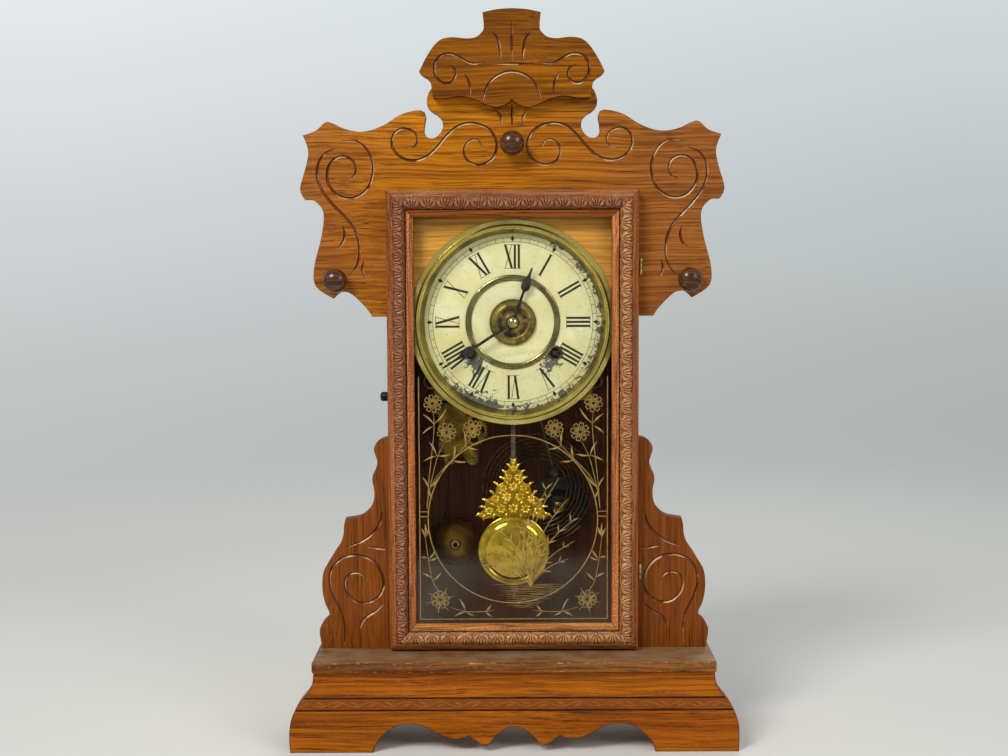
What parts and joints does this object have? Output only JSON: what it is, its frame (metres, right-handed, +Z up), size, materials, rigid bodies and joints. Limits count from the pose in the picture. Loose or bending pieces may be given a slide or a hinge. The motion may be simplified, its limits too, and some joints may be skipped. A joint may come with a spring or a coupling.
{
  "type": "gingerbread clock",
  "caption": "Carved oak kitchen shelf clock with a hinged glazed door, paper dial, swinging pendulum, gong strike and bell alarm.",
  "frame": {"origin": "on the floor under the middle of the base", "axes": "+X to the right of a viewer in front, +Y away from the viewer, +Z up"},
  "size_m": [0.341, 0.125, 0.559],
  "materials": {
    "front_oak": "varnished oak with dark grain",
    "dark_oak": "dark stained oak",
    "door_wood": "red-brown varnish with worn highlights",
    "knob_wood": "dark polished turning",
    "glass": "clear with gilt lines",
    "dial_paper": "aged cream paper with black numerals",
    "brass": "aged brass",
    "steel": "dull steel",
    "black_iron": "blackened iron",
    "blued_steel": "black hands"
  },
  "bodies": {
    "case": {"base_front": "front_oak", "base_side_left": "dark_oak", "base_side_right": "dark_oak", "base_cap": "front_oak", "case_side_left": "dark_oak", "case_side_right": "dark_oak", "case_top": "dark_oak", "backboard": "dark_oak", "head_board": "front_oak", "crest_overlay": "front_oak", "side_ornament_left": "front_oak", "side_ornament_right": "front_oak", "turned_knobs": "knob_wood", "hinge_case_leaves": "brass", "dial_plate": "dial_paper", "dial_bezel": "brass", "dial_inner_ring": "brass", "front_plate": "brass", "back_plate": "brass", "plate_pillars": "steel", "movement_mounts": "steel", "mainsprings": "steel", "suspension_post": "brass", "gong_coil": "steel", "gong_base": "black_iron", "alarm_frame": "brass", "alarm_bell": "brass", "bell_post": "steel"},
    "door": {"door_stile_left": "door_wood", "door_stile_right": "door_wood", "door_rail_top": "door_wood", "door_rail_bottom": "door_wood", "door_glass": "glass", "glass_beads": "dark_oak", "hinge_door_leaves": "brass", "latch_catch": "brass"},
    "latch": {"latch_turn": "black_iron"},
    "pendulum": {"pendulum_rod": "steel", "pendulum_bob": "brass", "pendulum_ornament": "brass"},
    "verge": {"verge": "steel"},
    "escape": {"escape_wheel": "brass"},
    "third": {"third_wheel": "brass"},
    "center": {"center_wheel": "brass"},
    "second": {"time_second_wheel": "brass"},
    "time_great": {"time_great_wheel": "brass"},
    "time_winding": {"time_winding_arbor": "steel"},
    "strike_great": {"strike_great_wheel": "brass"},
    "strike_winding": {"strike_winding_arbor": "steel"},
    "strike_second": {"strike_second_wheel": "brass"},
    "fly": {"fly": "brass"},
    "minute": {"minute_hand": "blued_steel", "hand_nut": "brass"},
    "motion": {"minute_wheel": "brass"},
    "hour": {"hour_wheel": "brass", "hour_hand": "blued_steel"},
    "alarm_set": {"alarm_disc": "brass"},
    "hammer": {"strike_hammer": "black_iron"},
    "alarm_spin": {"alarm_wheel": "brass"},
    "alarm_hammer": {"alarm_hammer": "black_iron"}
  },
  "joints": [
    {"name": "door_hinge", "type": "hinge", "parent": "case", "child": "door", "pos_m": [0.0975, -0.0203, 0.25], "axis": [0, 0, 1], "range_deg": [0, 105]},
    {"name": "latch_turn", "type": "hinge", "parent": "case", "child": "latch", "pos_m": [-0.088, 0, 0.2655], "axis": [1, 0, 0], "range_deg": [0, 90]},
    {"name": "pendulum_swing", "type": "hinge", "parent": "case", "child": "pendulum", "pos_m": [0, -0.004, 0.373], "axis": [0, 1, 0], "range_deg": [-3, 3]},
    {"name": "verge_rock", "type": "hinge", "parent": "case", "child": "verge", "pos_m": [0, 0, 0.3644], "axis": [0, 1, 0], "range_deg": [-4.5, 4.5]},
    {"name": "escape_turn", "type": "hinge", "parent": "case", "child": "escape", "pos_m": [0, 0, 0.347], "axis": [0, 1, 0], "continuous": true},
    {"name": "third_turn", "type": "hinge", "parent": "case", "child": "third", "pos_m": [-0.01225, 0, 0.33704], "axis": [0, 1, 0], "continuous": true},
    {"name": "center_turn", "type": "hinge", "parent": "case", "child": "center", "pos_m": [0, 0, 0.3238], "axis": [0, 1, 0], "continuous": true},
    {"name": "second_turn", "type": "hinge", "parent": "case", "child": "second", "pos_m": [0.01891, 0, 0.32477], "axis": [0, 1, 0], "continuous": true},
    {"name": "time_great_turn", "type": "hinge", "parent": "case", "child": "time_great", "pos_m": [0.0326, 0, 0.2999], "axis": [0, 1, 0], "continuous": true},
    {"name": "time_winding", "type": "hinge", "parent": "time_great", "child": "time_winding", "pos_m": [0.0326, 0, 0.2999], "axis": [0, 1, 0], "continuous": true},
    {"name": "strike_great_turn", "type": "hinge", "parent": "case", "child": "strike_great", "pos_m": [-0.0326, 0, 0.2999], "axis": [0, 1, 0], "continuous": true},
    {"name": "strike_winding", "type": "hinge", "parent": "strike_great", "child": "strike_winding", "pos_m": [-0.0326, 0, 0.2999], "axis": [0, 1, 0], "continuous": true},
    {"name": "strike_second_turn", "type": "hinge", "parent": "case", "child": "strike_second", "pos_m": [-0.03753, 0, 0.32786], "axis": [0, 1, 0], "continuous": true},
    {"name": "fly_turn", "type": "hinge", "parent": "case", "child": "fly", "pos_m": [-0.03351, 0, 0.34287], "axis": [0, 1, 0], "continuous": true},
    {"name": "minute_hand_turn", "type": "hinge", "parent": "case", "child": "minute", "pos_m": [0, 0, 0.3238], "axis": [0, 1, 0], "continuous": true},
    {"name": "minute_wheel_turn", "type": "hinge", "parent": "case", "child": "motion", "pos_m": [0, 0, 0.3118], "axis": [0, 1, 0], "continuous": true},
    {"name": "hour_hand_turn", "type": "hinge", "parent": "case", "child": "hour", "pos_m": [0, 0, 0.3238], "axis": [0, 1, 0], "continuous": true},
    {"name": "alarm_setting", "type": "hinge", "parent": "hour", "child": "alarm_set", "pos_m": [0, 0, 0.3238], "axis": [0, 1, 0], "continuous": true},
    {"name": "strike_hammer_lift", "type": "hinge", "parent": "case", "child": "hammer", "pos_m": [0.016, 0, 0.2678], "axis": [0, 1, 0], "range_deg": [0, 8], "stiffness_Nm_per_rad": 0.02},
    {"name": "alarm_wheel_turn", "type": "hinge", "parent": "case", "child": "alarm_spin", "pos_m": [-0.033, 0, 0.2368], "axis": [0, 1, 0], "continuous": true},
    {"name": "alarm_hammer_swing", "type": "hinge", "parent": "case", "child": "alarm_hammer", "pos_m": [-0.0505, 0, 0.2138], "axis": [0, 1, 0], "range_deg": [0, 8], "stiffness_Nm_per_rad": 0.01}
  ],
  "couplings": [
    {"joint": "verge_rock", "follows": "pendulum_swing", "ratio": 1.4624},
    {"joint": "third_turn", "follows": "escape_turn", "ratio": -0.09375},
    {"joint": "center_turn", "follows": "escape_turn", "ratio": 0.011719},
    {"joint": "second_turn", "follows": "escape_turn", "ratio": -0.0019531},
    {"joint": "time_great_turn", "follows": "escape_turn", "ratio": 0.00024414},
    {"joint": "strike_second_turn", "follows": "fly_turn", "ratio": -0.14815},
    {"joint": "strike_great_turn", "follows": "fly_turn", "ratio": 0.018519},
    {"joint": "minute_wheel_turn", "follows": "minute_hand_turn", "ratio": -0.33333},
    {"joint": "hour_hand_turn", "follows": "minute_hand_turn", "ratio": 0.083333}
  ]
}
